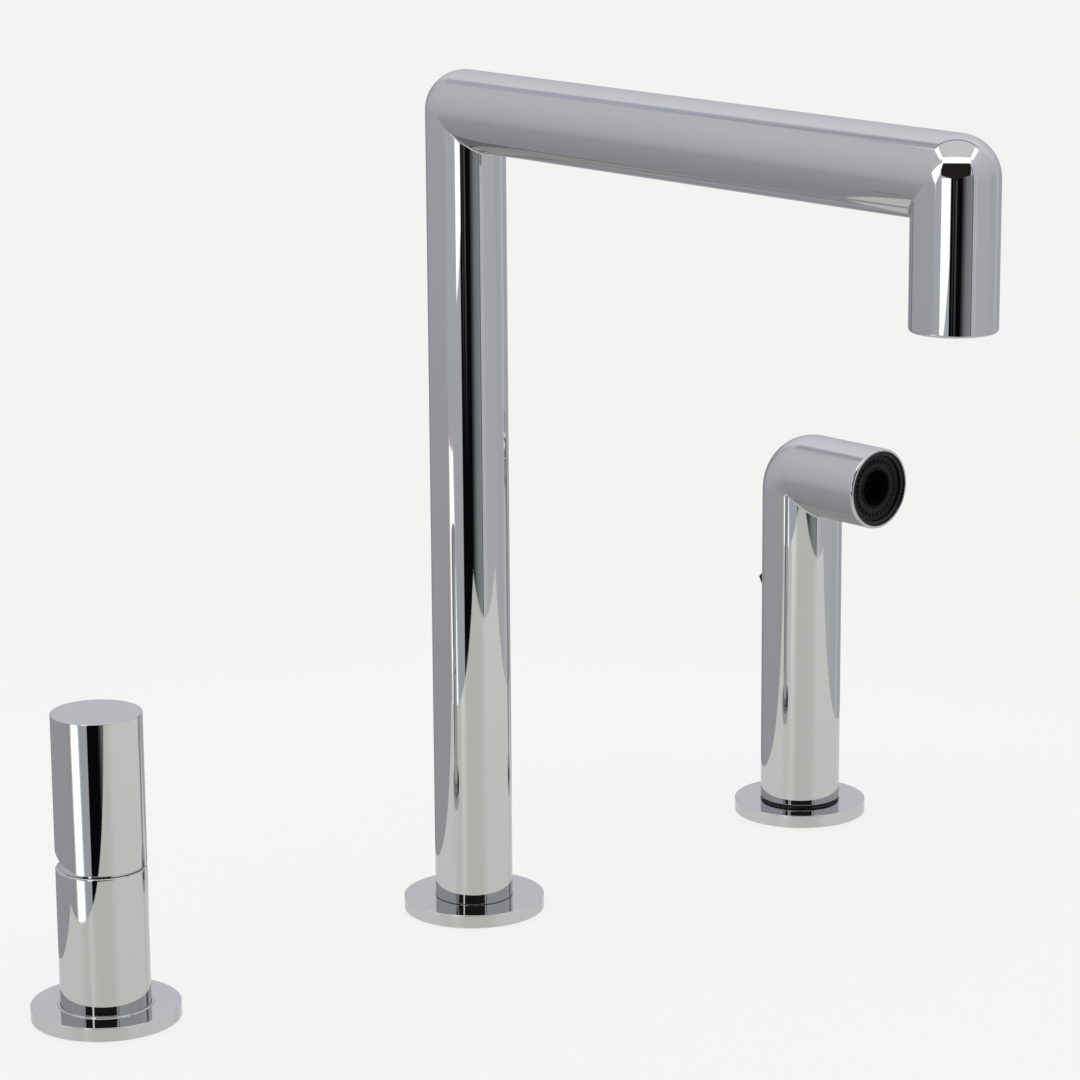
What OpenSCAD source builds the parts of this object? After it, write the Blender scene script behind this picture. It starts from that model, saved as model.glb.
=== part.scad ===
// Three-hole kitchen faucet: a turning spout, a single-lever control
// and a pull-out hand spray, with the hardware that clamps them to a worktop.
// Z = 0 is the worktop's top face, the origin is on the spout column's axis,
// and the user stands on the -Y side.

/* [Row of holes] */
// Position of the control left of the spout
control_x = -188.5; // [-220:0.5:-150]
// Position of the hand spray right of the spout
sprayer_x = 194; // [150:0.5:220]
// Diameter of the three base flanges
flange_d = 58; // [56:1:62]
// Thickness of the base flanges
flange_h = 5.5; // [5.2:0.1:5.5]
// Thickness of the worktop the shanks clamp on
deck_t = 30; // [20:1:32]

/* [Spout] */
// Height of the horizontal tube's axis
spout_z = 332; // [300:1:380]
// Reach from the column to the outlet
spout_reach = 260; // [180:1:300]
// Height of the outlet's lower edge
outlet_z = 278; // [250:1:284]
// Outside diameter of the spout tube
tube_d = 32; // [31.8:0.1:33]

/* [Control] */
// Outside diameter of the control
control_d = 35; // [34.8:0.1:36]
// Height of the lever handle's flat top
control_top = 121.5; // [118:0.5:135]
// Slope of the cut that lets the handle lean back
cut_angle = 21.4; // [20:0.1:23]
// Height of that cut on the control's axis
cut_z = 64.1; // [63.8:0.1:64.6]

/* [Hand spray] */
// Outside diameter of the hand spray
spray_d = 35; // [34.8:0.1:36]
// Height of the spray head's axis
head_z = 154.5; // [150:0.5:165]
// Distance from the spray's column to its nozzle face
head_reach = 46; // [45:0.5:50]
// Height of the push button
button_z = 104.3; // [98:0.1:110]
// Number of soft jets in the nozzle ring
jets = 30; // [24:1:32]

/* [Hidden] */
e = 0.01;
fr = flange_d / 2;
fh = flange_h;
tr = tube_d / 2;            // spout tube, outside
ti = 14.6;                  // spout tube, inside
cr = control_d / 2;         // control, outside
sr = spray_d / 2;           // hand spray, outside
si = 15.5;                  // hand spray, inside
bend = 7.5;                 // centreline radius of the spray's elbow
pivot = 55.8;               // height of the lever's pin
dome_r = 17.3;              // ball of the dome under the handle
gap_top = 61.6;             // lower edge of the handle
gap_bot = 60.8;             // upper edge of the sleeve
dz = -deck_t;               // underside of the worktop
port_r = 7;                 // circle of the three water ports
ports = [90, 210, 330];     // mixed, hot, cold
chrome_c = [0.80, 0.81, 0.83];
brass_c = [0.80, 0.66, 0.35];
steel_c = [0.62, 0.63, 0.65];
black_c = [0.08, 0.08, 0.09];
grey_c = [0.25, 0.26, 0.28];
white_c = [0.90, 0.90, 0.87];

// ---------- shared shapes ----------

// Solid of revolution about Z from [radius, height] points
module rev(pts) { rotate_extrude($fn = 96) polygon(pts); }

module ring(ro, ri, z0, z1) { rev([[ri, z0], [ro, z0], [ro, z1], [ri, z1]]); }

// Round-section ring about Z
module o_ring(rc, rs, z) {
    translate([0, 0, z]) rotate_extrude($fn = 96)
        translate([rc, 0]) circle(r = rs, $fn = 32);
}

// Points along -Y from the current place
module to_front() { rotate([90, 0, 0]) children(); }

// Points along +Y from the current place
module to_back() { rotate([-90, 0, 0]) children(); }

// The outside of a tube's corner: it turns from +Z at its foot to -Y at its head.
// r is the tube's radius and b the centreline's.
module corner(r, b) {
    rotate([0, -90, 0]) rotate_extrude(angle = 90, $fn = 96)
        intersection() {
            translate([b, 0]) circle(r = r, $fn = 96);
            translate([0, -r - 1]) square([b + r + 1, 2 * r + 2]);
        }
}

// Base flange with a seat for its gasket, and optionally a counterbore
module flange(bore, cb = 0) {
    difference() {
        rev([[bore, 0], [21.9, 0], [21.9, 1.5], [26.1, 1.5], [26.1, 0],
             [fr - 0.3, 0], [fr, 0.3], [fr, fh - 0.4], [fr - 0.4, fh], [bore, fh]]);
        if (cb > 0) translate([0, 0, fh - 2]) cylinder(r = cb, h = 3, $fn = 96);
    }
}

module gasket() { ring(26, 22, 0, 1.5); }

module rubber_washer(bore) { ring(22, bore, dz - 3, dz); }

module steel_washer(bore) { ring(21.5, bore, dz - 5, dz - 3); }

// Hexagon nut with a turned face on each end
module hex_nut(across, bore) {
    translate([0, 0, dz - 13]) difference() {
        intersection() {
            cylinder(r = across / sqrt(3), h = 8, $fn = 6);
            rev([[0, 0], [across / 2 - 0.2, 0], [across / sqrt(3) + 0.1, 1.8],
                 [across / sqrt(3) + 0.1, 6.2], [across / 2 - 0.2, 8], [0, 8]]);
        }
        translate([0, 0, -1]) cylinder(r = bore, h = 10, $fn = 96);
    }
}

// Socket screw that lies along +Y from y0 to y1
module grub_screw(r, y0, y1, z, hex) {
    translate([0, y0, z]) to_back() difference() {
        union() {
            translate([0, 0, 1]) cylinder(r = r, h = y1 - y0 - 1, $fn = 48);
            cylinder(r1 = r - 0.8, r2 = r, h = 1, $fn = 48);
        }
        translate([0, 0, y1 - y0 - 2.4]) cylinder(r = hex, h = 3, $fn = 6);
    }
}

// ---------- spout ----------

module spout_flange() { color(chrome_c) flange(13.4); }
module spout_gasket() { color(black_c) gasket(); }

// Brass post: the shank through the worktop, and the spigot the tube turns on
module spout_post() {
    color(brass_c) rev([[7.45, -60], [12.4, -60], [13, -59.4], [13, fh],
        [14.3, fh], [14.3, 9], [12, 9], [12, 17], [10.8, 17], [10.8, 22],
        [12, 22], [12, 25], [14.1, 25], [14.1, 30], [12.3, 30], [12.3, 33.2],
        [14.1, 33.2], [14.1, 38], [12.3, 38], [12.3, 41.2], [14.1, 41.2],
        [14.1, 46], [12, 46], [12, 52.3], [11.2, 52.3], [11.2, 53.6],
        [12, 53.6], [12, 56], [11.5, 56.5], [6.5, 56.5], [6.5, -46], [7.45, -46]]);
}
module spout_glide_ring() { color(white_c) ring(15.2, 14.5, fh, 6); }
module spout_lower_bush() { color(white_c) ring(14.53, 12, 9, 15.5); }
module spout_upper_bush() { color(white_c) ring(14.53, 12, 46, 52.2); }
module spout_o_rings() {
    color(black_c) { o_ring(13.42, 1.1, 31.6); o_ring(13.42, 1.1, 39.6); }
}
module spout_snap_ring() {
    color(steel_c) difference() {
        ring(13.6, 11.25, 52.35, 53.5);
        translate([-3, -15, 51]) cube([6, 15, 4]);
    }
}

// The bent tube's solid shape, from z0 up, over and down to z1
module spout_shape(r, z0, z1) {
    translate([0, 0, z0]) cylinder(r = r, h = spout_z - z0, $fn = 96);
    translate([0, 0, spout_z]) to_front() cylinder(r = r, h = spout_reach, $fn = 96);
    translate([0, -spout_reach, z1]) cylinder(r = r, h = spout_z - z1, $fn = 96);
    translate([0, 0, spout_z]) corner(r, 0);
    translate([0, -spout_reach, spout_z]) mirror([0, 1, 0]) corner(r, 0);
}
module spout_tube() {
    color(chrome_c) difference() {
        spout_shape(tr, 5.65, outlet_z);
        spout_shape(ti, 5, outlet_z - 1);
        // the skirt at the foot hides the glide ring
        translate([0, 0, 5]) cylinder(r = 15.3, h = 1.1, $fn = 96);
        translate([0, 10, 19.5]) to_back() cylinder(r = 2, h = 10, $fn = 48);
    }
}
module spout_grub_screw() { color(steel_c) grub_screw(2, 11.25, tr - 0.4, 19.5, 1.1); }

// The outlet's inside: a sleeve that carries the aerator
module aerator_sleeve() {
    color(chrome_c) translate([0, -spout_reach, outlet_z])
        rev([[10.8, 0.8], [14.2, 0.8], [14.55, 1.15], [14.55, 13], [11.6, 13],
             [11.6, 2], [10.8, 2]]);
}
module aerator_insert() {
    color(white_c) translate([0, -spout_reach, outlet_z + 2]) difference() {
        cylinder(r = 11.5, h = 8, $fn = 96);
        for (k = [1, 2, 3]) for (i = [0 : 6 * k - 1])
            rotate([0, 0, i * 60 / k]) translate([3 * k, 0, -1])
                cylinder(r = 1, h = 10, $fn = 24);
        translate([0, 0, -1]) cylinder(r = 1, h = 10, $fn = 24);
    }
}
module aerator_seal() {
    color(black_c) translate([0, -spout_reach, outlet_z + 10]) ring(11.55, 9.2, 0, 2);
}
module spout_rubber_washer() { color(black_c) rubber_washer(13.05); }
module spout_steel_washer() { color(steel_c) steel_washer(13.05); }
module spout_nut() { color(brass_c) hex_nut(34, 13); }

// ---------- control ----------

module control_flange() { color(chrome_c) translate([control_x, 0, 0]) flange(14.4); }
module control_gasket() { color(black_c) translate([control_x, 0, 0]) gasket(); }
module control_sleeve() {
    color(chrome_c) translate([control_x, 0, 0])
        rev([[15.6, fh], [cr, fh], [cr, gap_bot - 1.1], [cr - 0.25, gap_bot - 0.4],
             [cr - 0.7, gap_bot], [15.6, gap_bot]]);
}

// Brass valve body: the threaded shank with three ports, and the cartridge's seat
module valve_body() {
    color(brass_c) translate([control_x, 0, 0]) difference() {
        rev([[0, -62], [13.4, -62], [14, -61.4], [14, fh], [15.5, fh], [15.5, 58],
             [13.5, 58], [13.5, 54.5], [12.9, 54.5], [12.9, 32], [0, 32]]);
        for (a = ports) rotate([0, 0, a]) translate([port_r, 0, 0]) {
            translate([0, 0, -63]) cylinder(r = 4.5, h = 13, $fn = 48);
            translate([0, 0, -51]) cylinder(r = 3, h = 90, $fn = 48);
        }
        for (a = [30, 150]) rotate([0, 0, a]) translate([10.4, 0, 29.5])
            cylinder(r = 1.45, h = 4, $fn = 32);
    }
}
module port_seals() {
    color(black_c) translate([control_x, 0, 0]) for (a = ports)
        rotate([0, 0, a]) translate([port_r, 0, 0]) ring(4.3, 3.1, 32, 33);
}
module cartridge_base() {
    color(white_c) translate([control_x, 0, 0]) difference() {
        union() {
            translate([0, 0, 33]) cylinder(r = 12.75, h = 4, $fn = 96);
            for (a = [30, 150]) rotate([0, 0, a]) translate([10.4, 0, 30])
                cylinder(r = 1.4, h = 4, $fn = 32);
        }
        for (a = ports) rotate([0, 0, a]) translate([port_r, 0, 32])
            cylinder(r = 2.6, h = 6, $fn = 48);
    }
}
module fixed_disc() {
    color(white_c) translate([control_x, 0, 0]) difference() {
        translate([0, 0, 37]) cylinder(r = 11.8, h = 3.5, $fn = 96);
        for (a = ports) rotate([0, 0, a]) translate([port_r, 0, 36])
            cylinder(r = 2.3, h = 6, $fn = 48);
    }
}
module moving_disc() {
    color(white_c) translate([control_x, 0, 0]) difference() {
        translate([0, 0, 40.55]) cylinder(r = 8.4, h = 2.95, $fn = 96);
        translate([0, 0, 39.5]) cylinder(r = 5, h = 2.6, $fn = 96);
    }
}
module disc_driver() {
    color(grey_c) translate([control_x, 0, 0]) difference() {
        translate([0, 0, 43.5]) cylinder(r = 8.4, h = 5.9, $fn = 96);
        for (s = [-1, 1]) translate([s * 9 - 3, -9, 44.3]) cube([6, 18, 6]);
        translate([-2.75, -2.68, 45.3]) cube([5.5, 5.36, 6]);
    }
}
module cartridge_housing() {
    color(grey_c) translate([control_x, 0, 0])
        rev([[11.9, 37], [12.75, 37], [12.75, 54.5], [8.4, 54.5], [8.4, 52.5], [11.9, 52.5]]);
}

// Turns with the handle: carries the lever's pin and keeps the driver in line
module lever_guide() {
    color(white_c) translate([control_x, 0, 0]) difference() {
        union() {
            translate([0, 0, 50]) cylinder(r = 11.6, h = 2.35, $fn = 96);
            translate([0, 0, 50]) cylinder(r = 8.2, h = 10.2, $fn = 96);
            for (s = [-1, 1]) translate([s * 7.3 - 1, -4.5, 45]) cube([2, 9, 6]);
        }
        translate([-3.3, -5.4, 49]) cube([6.6, 10.8, 13]);
        translate([-9, 0, pivot]) rotate([0, 90, 0]) cylinder(r = 1.5, h = 18, $fn = 48);
    }
}
module lever_pin() {
    color(steel_c) translate([control_x - 7.8, 0, pivot]) rotate([0, 90, 0])
        cylinder(r = 1.5, h = 15.6, $fn = 48);
}
module lever_stem() {
    color(steel_c) translate([control_x, 0, 0]) difference() {
        union() {
            translate([-3, -3.2, 52]) cube([6, 6.4, 38]);
            translate([0, 0, 49.4]) cylinder(r = 1.9, h = 3, $fn = 48);
            translate([0, 0, pivot - 7]) sphere(r = 2.6, $fn = 48);
        }
        translate([-4, 0, pivot]) rotate([0, 90, 0]) cylinder(r = 1.55, h = 8, $fn = 48);
    }
}
module cartridge_nut() {
    color(brass_c) translate([control_x, 0, 0]) difference() {
        ring(13.45, 9.6, 54.5, 58);
        for (a = [0, 90]) rotate([0, 0, a]) translate([-15, -1.5, 56.6]) cube([30, 3, 3]);
    }
}
// Ball-topped nut that closes the valve and fills the handle's tilting gap
module dome_nut() {
    color(chrome_c) translate([control_x, 0, 0]) difference() {
        union() {
            intersection() {
                translate([0, 0, pivot]) sphere(r = dome_r, $fn = 96);
                translate([0, 0, gap_bot]) cylinder(r = 18, h = 8.6, $fn = 96);
            }
            translate([0, 0, 58]) cylinder(r = 15.5, h = 4, $fn = 96);
        }
        translate([0, 0, 57]) cylinder(r = 10.6, h = 14, $fn = 96);
    }
}
module handle_shell() {
    color(chrome_c) translate([control_x, 0, 0]) difference() {
        rev([[0, gap_top], [cr - 0.3, gap_top], [cr, gap_top + 0.3],
             [cr, control_top - 0.5], [cr - 0.5, control_top], [0, control_top]]);
        translate([0, 0, pivot]) sphere(r = dome_r + 0.3, $fn = 96);
        translate([0, 0, 64]) cylinder(r = 15, h = control_top - 5.5 - 64, $fn = 96);
        translate([0, 0, cut_z]) rotate([cut_angle, 0, 0])
            translate([-30, -60, -40]) cube([60, 120, 40]);
        translate([0, 10, 82]) to_back() cylinder(r = 2.5, h = 12, $fn = 48);
    }
}
module handle_hub() {
    color(grey_c) translate([control_x, 0, 0]) difference() {
        translate([0, 0, 74.5]) cylinder(r = 14.95, h = 16, $fn = 96);
        translate([-3.05, -3.25, 73]) cube([6.1, 6.5, 17.1]);
        translate([0, 2, 82]) to_back() cylinder(r = 2.5, h = 14, $fn = 48);
    }
}
module handle_grub_screw() {
    color(steel_c) translate([control_x, 0, 0]) grub_screw(2.5, 3.25, cr - 0.9, 82, 1.4);
}
module control_rubber_washer() { color(black_c) translate([control_x, 0, 0]) rubber_washer(14.05); }
module control_steel_washer() { color(steel_c) translate([control_x, 0, 0]) steel_washer(14.05); }
module control_nut() { color(brass_c) translate([control_x, 0, 0]) hex_nut(36, 14); }

// ---------- hand spray ----------

module sprayer_flange() { color(chrome_c) translate([sprayer_x, 0, 0]) flange(14.4, 15.5); }
module sprayer_gasket() { color(black_c) translate([sprayer_x, 0, 0]) gasket(); }

// Threaded tube that clamps the holder and lets the hose through
module dock_shank() {
    color(brass_c) translate([sprayer_x, 0, 0])
        rev([[12.7, -58], [13.4, -58], [14, -57.4], [14, fh - 2], [15.4, fh - 2],
             [15.4, fh], [12.7, fh]]);
}
// Plastic liner whose collar the spray stands on
module dock_sleeve() {
    color(black_c) translate([sprayer_x, 0, 0])
        rev([[11.3, -35], [12.6, -35], [12.6, fh], [17.1, fh], [17.1, 6.25], [16.85, 6.5],
             [12, 6.5], [11.3, 5.8]]);
}
module sprayer_rubber_washer() { color(black_c) translate([sprayer_x, 0, 0]) rubber_washer(14.05); }
module sprayer_steel_washer() { color(steel_c) translate([sprayer_x, 0, 0]) steel_washer(14.05); }
module sprayer_nut() { color(brass_c) translate([sprayer_x, 0, 0]) hex_nut(36, 14); }

// The hose screws into this, and the handle turns on its spigot
module hose_swivel() {
    color(brass_c) translate([sprayer_x, 0, 0])
        rev([[6.95, -20], [10.4, -20], [11, -19.4], [11, 6.9], [7.5, 6.9], [7.5, 10.2],
             [6.8, 10.2], [6.8, 11.6], [7.5, 11.6], [7.5, 15], [6.3, 15], [6.3, 17.2],
             [7.5, 17.2], [7.5, 20], [6.3, 20], [6.3, 22.2], [7.5, 22.2], [7.5, 27],
             [4, 27], [4, -6], [6.95, -6]]);
}
module swivel_o_rings() {
    color(black_c) translate([sprayer_x, 0, 0]) {
        o_ring(6.91, 0.57, 16.1);
        o_ring(6.91, 0.57, 21.1);
    }
}
module swivel_clip() {
    color(steel_c) translate([sprayer_x, 0, 0]) difference() {
        ring(9.2, 6.85, 10.3, 11.5);
        translate([-2, 0, 9]) cube([4, 12, 4]);
    }
}
module sprayer_end_cap() {
    color(black_c) translate([sprayer_x, 0, 0])
        rev([[7.8, 7.7], [14.9, 7.7], [15.45, 8.2], [15.45, 10], [7.8, 10]]);
}

// The hand spray's bent outer shape, or its inside
module spray_shape(r, z0, reach) {
    translate([0, 0, z0]) cylinder(r = r, h = head_z - bend - z0, $fn = 96);
    translate([0, -bend, head_z]) to_front() cylinder(r = r, h = reach - bend, $fn = 96);
    translate([0, -bend, head_z - bend]) corner(r, bend);
}
module sprayer_shell() {
    color(chrome_c) translate([sprayer_x, 0, 0]) difference() {
        spray_shape(sr, 6.6, head_reach);
        spray_shape(si, 6, head_reach + 1);
        translate([0, -head_reach + 19, head_z]) to_front() cylinder(r = 16.3, h = 20, $fn = 96);
        translate([-8.1, 5, button_z - 5.3]) cube([16.2, 15, 10.6]);
    }
}
// Inner water tube: swivel socket, button valve and the lead to the nozzle
module sprayer_waterway() {
    color(black_c) translate([sprayer_x, 0, 0]) difference() {
        union() {
            translate([0, 0, 12]) cylinder(r = 11.5, h = 22, $fn = 96);
            translate([0, 0, 33]) cylinder(r = 6.2, h = head_z + 6.2 - 33, $fn = 96);
            translate([0, 6.2, head_z]) to_front() cylinder(r = 6.19, h = 30.2, $fn = 96);
            translate([0, 7.6, button_z]) to_front() cylinder(r = 7.6, h = 17.6, $fn = 96);
        }
        translate([0, 0, 11]) cylinder(r = 7.57, h = 17, $fn = 96);
        translate([0, 0, 27]) cylinder(r = 3, h = head_z + 3.4 - 27, $fn = 96);
        translate([0, 3, head_z]) to_front() cylinder(r = 2.99, h = 28, $fn = 96);
        translate([0, 8, button_z]) to_front() cylinder(r = 2.5, h = 16.4, $fn = 48);
        translate([0, 8, button_z]) to_front() cylinder(r = 4.6, h = 4.4, $fn = 48);
        translate([0, -20, head_z]) to_front() ring(7, 5.2, 0, 1.4);
    }
}
// Waisted spool that lets the water past when the button is in
module valve_plunger() {
    color(brass_c) translate([sprayer_x, 10.6, button_z]) to_front()
        rev([[0, 0], [2.4, 0], [2.4, 8.7], [1.4, 8.7], [1.4, 9.9], [2.4, 9.9],
             [2.4, 12.6], [1.4, 12.6], [1.4, 13.8], [2.4, 13.8], [2.4, 15.2], [2, 15.6], [0, 15.6]]);
}
module plunger_o_rings() {
    color(black_c) translate([sprayer_x, 10.6, button_z]) to_front() {
        o_ring(1.9, 0.45, 9.3);
        o_ring(1.9, 0.45, 13.2);
    }
}

// Return spring: one closed helical tube round the plunger
sp_turns = 5;
sp_n = 80;
sp_m = 8;
sp_r = 3.5;
sp_w = 0.4;
sp_y0 = 4.05;
sp_y1 = 10.15;
function sp_pt(i, j) = let (t = i / sp_n, a = 360 * sp_turns * t, b = 360 * j / sp_m,
    q = sp_r + sp_w * cos(b)) [q * cos(a), sp_y0 + (sp_y1 - sp_y0) * t + sp_w * sin(b), q * sin(a)];
module button_spring() {
    color(steel_c) translate([sprayer_x, 0, button_z]) polyhedron(
        points = concat([for (i = [0 : sp_n]) for (j = [0 : sp_m - 1]) sp_pt(i, j)]),
        faces = concat(
            [[for (j = [0 : sp_m - 1]) j]],
            [for (i = [0 : sp_n - 1]) for (j = [0 : sp_m - 1])
                let (k = (j + 1) % sp_m, p = i * sp_m, q = p + sp_m)
                [p + j, q + j, q + k, p + k]],
            [[for (j = [sp_m - 1 : -1 : 0]) sp_n * sp_m + j]]));
}
module spray_button() {
    color(black_c) translate([sprayer_x, 0, button_z]) {
        translate([-9.1, 10.6, -6.1]) cube([18.2, 1.4, 12.2]);
        intersection() {
            translate([-7.8, 11.9, -5]) cube([15.6, 8, 10]);
            translate([0, 0, -10]) cylinder(r = 17.4, h = 20, $fn = 96);
        }
        // the ridge the thumb finds
        translate([-7.8, 0, 0]) rotate([90, 0, 90]) linear_extrude(height = 15.6)
            polygon([[14, -3], [17.3, -2.2], [19.1, 0.9], [17, 3], [14, 3.2]]);
    }
}
module nozzle_o_ring() {
    color(black_c) translate([sprayer_x, -20.7, head_z]) to_front() o_ring(5.74, 0.5, 0);
}
module nozzle_cup() {
    color(black_c) translate([sprayer_x, 0, head_z]) to_front()
        rev([[3, 25], [3, 28.6], [14.45, 28.6], [14.45, head_reach - 1], [15.9, head_reach - 1],
             [16.25, head_reach - 1.35], [16.25, 27.1], [9.5, 27.1], [9.5, 17], [6.25, 17], [6.25, 25]]);
}
// Soft ring with a crown of small jets round the central stream
module nozzle_ring() {
    color(grey_c) translate([sprayer_x, 0, head_z]) to_front() difference() {
        union() {
            rev([[8.85, head_reach - 6], [14.4, head_reach - 6], [14.4, head_reach - 2.2],
                 [8.85, head_reach - 2.2]]);
            for (i = [0 : jets - 1]) rotate([0, 0, i * 360 / jets])
                translate([11.6, 0, head_reach - 3])
                    cylinder(r1 = 0.95, r2 = 0.7, h = 1.7, $fn = 24);
        }
        for (i = [0 : jets - 1]) rotate([0, 0, i * 360 / jets])
            translate([11.6, 0, head_reach - 7]) cylinder(r = 0.35, h = 8, $fn = 16);
    }
}
module stream_insert() {
    color(black_c) translate([sprayer_x, 0, head_z]) to_front() difference() {
        rev([[0, 33], [8.8, 33], [8.8, head_reach - 2], [7.9, head_reach - 2],
             [7.9, 36], [0, 36]]);
        for (k = [1, 2]) for (i = [0 : 6 * k - 1])
            rotate([0, 0, i * 60 / k]) translate([2.8 * k, 0, 32])
                cylinder(r = 0.9, h = 5, $fn = 24);
        translate([0, 0, 32]) cylinder(r = 0.9, h = 5, $fn = 24);
    }
}

spout_flange();
spout_gasket();
spout_post();
spout_glide_ring();
spout_lower_bush();
spout_upper_bush();
spout_o_rings();
spout_snap_ring();
spout_tube();
spout_grub_screw();
aerator_sleeve();
aerator_insert();
aerator_seal();
spout_rubber_washer();
spout_steel_washer();
spout_nut();
control_flange();
control_gasket();
control_sleeve();
valve_body();
port_seals();
cartridge_base();
fixed_disc();
moving_disc();
disc_driver();
cartridge_housing();
lever_guide();
lever_pin();
lever_stem();
cartridge_nut();
dome_nut();
handle_shell();
handle_hub();
handle_grub_screw();
control_rubber_washer();
control_steel_washer();
control_nut();
sprayer_flange();
sprayer_gasket();
dock_shank();
dock_sleeve();
sprayer_rubber_washer();
sprayer_steel_washer();
sprayer_nut();
hose_swivel();
swivel_o_rings();
swivel_clip();
sprayer_end_cap();
sprayer_shell();
sprayer_waterway();
valve_plunger();
plunger_o_rings();
button_spring();
spray_button();
nozzle_o_ring();
nozzle_cup();
nozzle_ring();
stream_insert();
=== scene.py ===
import math

import bpy
import numpy as np
from mathutils import Matrix, Vector


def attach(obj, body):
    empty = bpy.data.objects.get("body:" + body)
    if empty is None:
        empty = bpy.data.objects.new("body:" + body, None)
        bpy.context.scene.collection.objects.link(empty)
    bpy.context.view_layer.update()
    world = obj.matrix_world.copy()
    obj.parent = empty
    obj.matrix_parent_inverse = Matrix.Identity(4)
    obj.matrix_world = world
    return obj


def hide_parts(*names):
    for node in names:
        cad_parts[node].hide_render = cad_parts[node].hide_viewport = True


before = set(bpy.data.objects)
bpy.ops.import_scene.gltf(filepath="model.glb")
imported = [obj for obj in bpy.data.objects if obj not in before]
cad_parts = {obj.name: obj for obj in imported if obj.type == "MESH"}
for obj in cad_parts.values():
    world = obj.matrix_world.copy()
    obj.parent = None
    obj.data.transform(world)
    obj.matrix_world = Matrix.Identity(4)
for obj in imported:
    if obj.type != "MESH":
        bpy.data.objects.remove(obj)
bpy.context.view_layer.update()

MM = 0.001
TAU = 2 * math.pi

# Main sizes, in millimetres, as the frame holds them
CONTROL_X = -188.5
SPRAYER_X = 194.0
TUBE_R, TUBE_I = 16.0, 14.6
SPOUT_Z, REACH, OUTLET_Z = 332.0, 260.0, 278.0
CREASE = 0.8
CTRL_R, CTRL_TOP, PIVOT = 17.5, 121.5, 55.8
SPRAY_R, SPRAY_I, BEND, HEAD_Z, HEAD_Y = 17.5, 15.5, 7.5, 154.5, 46.0

# ------------------------------------------------------------------ camera
CAM_AZ, CAM_EL, CAM_ROLL = -42.13761502940582, 13.687638021067425, -0.4053926671900852
CAM_AT = Vector((-1.0261654692, -1.1764855475, 0.5364283963))
CAM_F = 3949.3229937


def look(az, el, roll):
    a, e, r = (math.radians(v) for v in (az, el, roll))
    f = Vector((-math.sin(a) * math.cos(e), math.cos(a) * math.cos(e), -math.sin(e)))
    right = f.cross(Vector((0, 0, 1))).normalized()
    up = right.cross(f)
    c, s = math.cos(r), math.sin(r)
    x = right * c + up * s
    y = right * -s + up * c
    return Matrix((x, y, -f)).transposed()


cam_data = bpy.data.cameras.new("view")
cam = bpy.data.objects.new("view", cam_data)
bpy.context.scene.collection.objects.link(cam)
cam_data.sensor_width = 36.0
cam_data.sensor_fit = "HORIZONTAL"
cam_data.lens = CAM_F * 36.0 / 1080.0
cam_data.clip_start, cam_data.clip_end = 0.05, 60.0
cam.matrix_world = Matrix.Translation(CAM_AT) @ look(CAM_AZ, CAM_EL, CAM_ROLL).to_4x4()
bpy.context.scene.camera = cam
bpy.context.scene.view_settings.view_transform = "Standard"
bpy.context.scene.view_settings.look = "None"

# ------------------------------------------------------------------ outlines


def outline(points, closed=True, small=0.06):
    """Rounds a counterclockwise outline of (radius, height, fillet) points.
    Returns rows of radius, height and the outward normal's two parts."""
    pts = [(p[0], p[1], p[2] if len(p) > 2 else small) for p in points]
    n = len(pts)
    rows = []
    for i, (x, y, f) in enumerate(pts):
        if not closed and i in (0, n - 1):
            q = pts[1] if i == 0 else pts[n - 2]
            d = (q[0] - x, q[1] - y) if i == 0 else (x - q[0], y - q[1])
            k = math.hypot(*d)
            rows.append((x, y, d[1] / k, -d[0] / k))
            continue
        a, b = pts[i - 1], pts[(i + 1) % n]
        d1, d2 = (x - a[0], y - a[1]), (b[0] - x, b[1] - y)
        l1, l2 = math.hypot(*d1), math.hypot(*d2)
        d1, d2 = (d1[0] / l1, d1[1] / l1), (d2[0] / l2, d2[1] / l2)
        turn = math.atan2(d1[0] * d2[1] - d1[1] * d2[0], d1[0] * d2[0] + d1[1] * d2[1])
        n1 = (d1[1], -d1[0])
        if abs(turn) < 1e-5:
            rows.append((x, y, *n1))
            continue
        t = f * math.tan(abs(turn) / 2)
        most = 0.48 * min(l1, l2)
        if t > most:
            f, t = f * most / t, most
        sx, sy = x - d1[0] * t, y - d1[1] * t
        side = 1 if turn > 0 else -1
        cx, cy = sx - n1[0] * side * f, sy - n1[1] * side * f
        steps = max(2, int(math.ceil(abs(turn) / math.radians(10 if f > 0.2 else 24))))
        for k in range(steps + 1):
            w = turn * k / steps
            c, s = math.cos(w), math.sin(w)
            vx, vy = sx - cx, sy - cy
            rows.append((cx + vx * c - vy * s, cy + vx * s + vy * c,
                         n1[0] * c - n1[1] * s, n1[0] * s + n1[1] * c))
    return rows


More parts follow.
